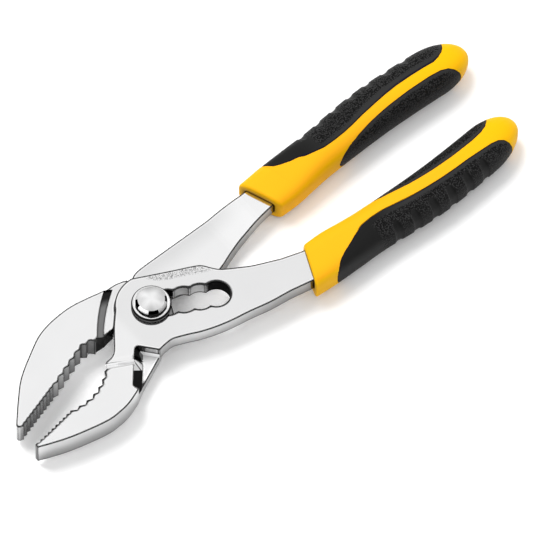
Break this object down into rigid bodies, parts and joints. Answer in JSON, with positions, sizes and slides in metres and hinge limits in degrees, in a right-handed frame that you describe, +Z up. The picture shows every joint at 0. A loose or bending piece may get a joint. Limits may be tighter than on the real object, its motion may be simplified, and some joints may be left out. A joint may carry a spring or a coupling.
{
  "type": "slip joint pliers",
  "caption": "Slip joint pliers with a scalloped adjusting slot, a domed pivot, curved jaws with coarse and fine teeth, and two-material grips.",
  "frame": {"origin": "on the pivot axis, on the underside of the pivot nut, which is the plane that the tool rests on", "axes": "+X along the handles, away from the jaws; +Z up along the pivot axis, towards the domed head; +Y towards the handle of the pin half"},
  "size_m": [0.2556, 0.0652, 0.0209],
  "materials": {
    "polished_steel": "bright polished",
    "yellow_sleeve": "satin",
    "black_inlay": "pebbled matte"
  },
  "bodies": {
    "pin_side": {"pin_half": "polished_steel", "pivot_pin": "polished_steel", "pivot_nut": "polished_steel", "upper_sleeve": "yellow_sleeve", "upper_outer_pad": "black_inlay", "upper_inner_pad": "black_inlay"},
    "washer": {"pivot_washer": "polished_steel"},
    "slotted_side": {"slotted_half": "polished_steel", "lower_sleeve": "yellow_sleeve", "lower_outer_pad": "black_inlay", "lower_inner_pad": "black_inlay"}
  },
  "joints": [
    {"name": "jaw_hinge", "type": "hinge", "parent": "pin_side", "child": "washer", "pos_m": [0, 0, 0], "axis": [0, 0, -1], "range_deg": [-3, 32]},
    {"name": "slot_slide", "type": "slide", "parent": "washer", "child": "slotted_side", "axis": [-0.8805, 0.4741, 0], "range_m": [0, 0.0272]}
  ]
}
